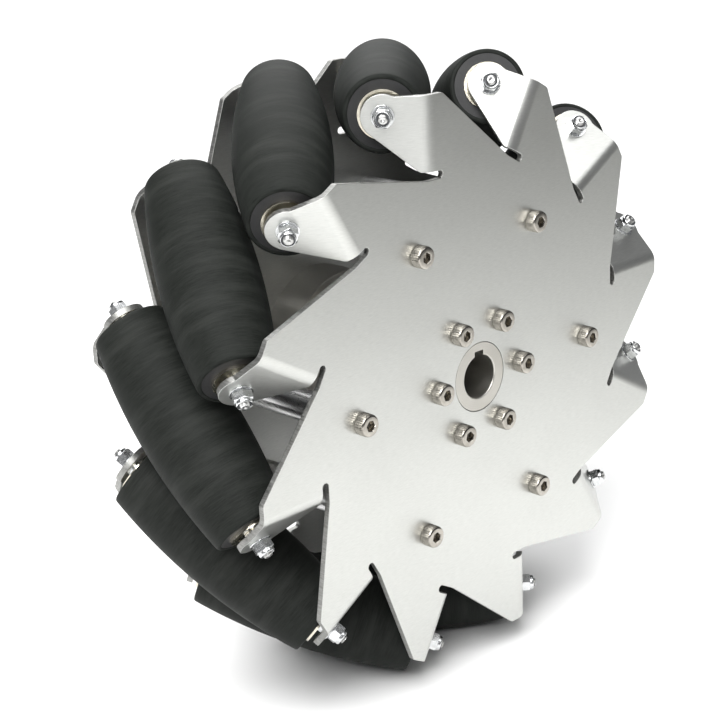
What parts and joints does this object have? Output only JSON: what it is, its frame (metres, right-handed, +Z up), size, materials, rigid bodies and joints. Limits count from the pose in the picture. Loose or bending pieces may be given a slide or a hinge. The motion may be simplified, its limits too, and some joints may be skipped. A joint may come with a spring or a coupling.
{
  "type": "mecanum wheel",
  "caption": "Omnidirectional wheel: free-spinning barrel rollers set at 45 degrees around the rim, carried on axles between two toothed sheet-metal plates on a keyed hub.",
  "frame": {"origin": "centre of the wheel, on its axle line and midway between the two side plates", "axes": "+Y along the wheel's axle line, from the front plate to the back plate; +Z up, through the hub's keyway and the middle of the first roller; +X to the right when looking at the front plate. The front plate is the one on the -Y side."},
  "size_m": [0.203, 0.0848, 0.203],
  "materials": {
    "plate_steel": "satin, lightly brushed sheet",
    "hub_metal": "turned, satin",
    "spacer_metal": "turned, satin",
    "fastener_steel": "stainless, semi-bright",
    "axle_steel": "ground rod with threaded ends",
    "bearing_steel": "ground and polished",
    "roller_rubber": "matte, finely ground around its axis",
    "core_plastic": "moulded, matte"
  },
  "bodies": {
    "wheel_frame": {"front_plate": "plate_steel", "back_plate": "plate_steel", "hub": "hub_metal", "plate_spacers": "spacer_metal", "hub_screws_front": "fastener_steel", "hub_screws_back": "fastener_steel", "spacer_screws_front": "fastener_steel", "spacer_screws_back": "fastener_steel", "axle_01": "axle_steel", "axle_02": "axle_steel", "axle_03": "axle_steel", "axle_04": "axle_steel", "axle_05": "axle_steel", "axle_06": "axle_steel", "axle_07": "axle_steel", "axle_08": "axle_steel", "axle_09": "axle_steel", "axle_10": "axle_steel", "axle_11": "axle_steel", "axle_12": "axle_steel", "inner_races": "bearing_steel", "axle_shims": "fastener_steel", "axle_washers": "fastener_steel", "axle_nuts": "fastener_steel"},
    "roller_01": {"roller_tyre_01": "roller_rubber", "roller_core_01": "core_plastic", "roller_bearings_01": "bearing_steel"},
    "roller_02": {"roller_tyre_02": "roller_rubber", "roller_core_02": "core_plastic", "roller_bearings_02": "bearing_steel"},
    "roller_03": {"roller_tyre_03": "roller_rubber", "roller_core_03": "core_plastic", "roller_bearings_03": "bearing_steel"},
    "roller_04": {"roller_tyre_04": "roller_rubber", "roller_core_04": "core_plastic", "roller_bearings_04": "bearing_steel"},
    "roller_05": {"roller_tyre_05": "roller_rubber", "roller_core_05": "core_plastic", "roller_bearings_05": "bearing_steel"},
    "roller_06": {"roller_tyre_06": "roller_rubber", "roller_core_06": "core_plastic", "roller_bearings_06": "bearing_steel"},
    "roller_07": {"roller_tyre_07": "roller_rubber", "roller_core_07": "core_plastic", "roller_bearings_07": "bearing_steel"},
    "roller_08": {"roller_tyre_08": "roller_rubber", "roller_core_08": "core_plastic", "roller_bearings_08": "bearing_steel"},
    "roller_09": {"roller_tyre_09": "roller_rubber", "roller_core_09": "core_plastic", "roller_bearings_09": "bearing_steel"},
    "roller_10": {"roller_tyre_10": "roller_rubber", "roller_core_10": "core_plastic", "roller_bearings_10": "bearing_steel"},
    "roller_11": {"roller_tyre_11": "roller_rubber", "roller_core_11": "core_plastic", "roller_bearings_11": "bearing_steel"},
    "roller_12": {"roller_tyre_12": "roller_rubber", "roller_core_12": "core_plastic", "roller_bearings_12": "bearing_steel"}
  },
  "joints": [
    {"name": "roller_spin_01", "type": "hinge", "parent": "wheel_frame", "child": "roller_01", "pos_m": [0, 0, 0.0862], "axis": [0.7071, 0.7071, 0], "continuous": true},
    {"name": "roller_spin_02", "type": "hinge", "parent": "wheel_frame", "child": "roller_02", "pos_m": [0.0431, 0, 0.07465], "axis": [0.6124, 0.7071, -0.3536], "continuous": true},
    {"name": "roller_spin_03", "type": "hinge", "parent": "wheel_frame", "child": "roller_03", "pos_m": [0.07465, 0, 0.0431], "axis": [0.3536, 0.7071, -0.6124], "continuous": true},
    {"name": "roller_spin_04", "type": "hinge", "parent": "wheel_frame", "child": "roller_04", "pos_m": [0.0862, 0, 0], "axis": [0, 0.7071, -0.7071], "continuous": true},
    {"name": "roller_spin_05", "type": "hinge", "parent": "wheel_frame", "child": "roller_05", "pos_m": [0.07465, 0, -0.0431], "axis": [-0.3536, 0.7071, -0.6124], "continuous": true},
    {"name": "roller_spin_06", "type": "hinge", "parent": "wheel_frame", "child": "roller_06", "pos_m": [0.0431, 0, -0.07465], "axis": [-0.6124, 0.7071, -0.3536], "continuous": true},
    {"name": "roller_spin_07", "type": "hinge", "parent": "wheel_frame", "child": "roller_07", "pos_m": [0, 0, -0.0862], "axis": [-0.7071, 0.7071, 0], "continuous": true},
    {"name": "roller_spin_08", "type": "hinge", "parent": "wheel_frame", "child": "roller_08", "pos_m": [-0.0431, 0, -0.07465], "axis": [-0.6124, 0.7071, 0.3536], "continuous": true},
    {"name": "roller_spin_09", "type": "hinge", "parent": "wheel_frame", "child": "roller_09", "pos_m": [-0.07465, 0, -0.0431], "axis": [-0.3536, 0.7071, 0.6124], "continuous": true},
    {"name": "roller_spin_10", "type": "hinge", "parent": "wheel_frame", "child": "roller_10", "pos_m": [-0.0862, 0, 0], "axis": [0, 0.7071, 0.7071], "continuous": true},
    {"name": "roller_spin_11", "type": "hinge", "parent": "wheel_frame", "child": "roller_11", "pos_m": [-0.07465, 0, 0.0431], "axis": [0.3536, 0.7071, 0.6124], "continuous": true},
    {"name": "roller_spin_12", "type": "hinge", "parent": "wheel_frame", "child": "roller_12", "pos_m": [-0.0431, 0, 0.07465], "axis": [0.6124, 0.7071, 0.3536], "continuous": true}
  ]
}
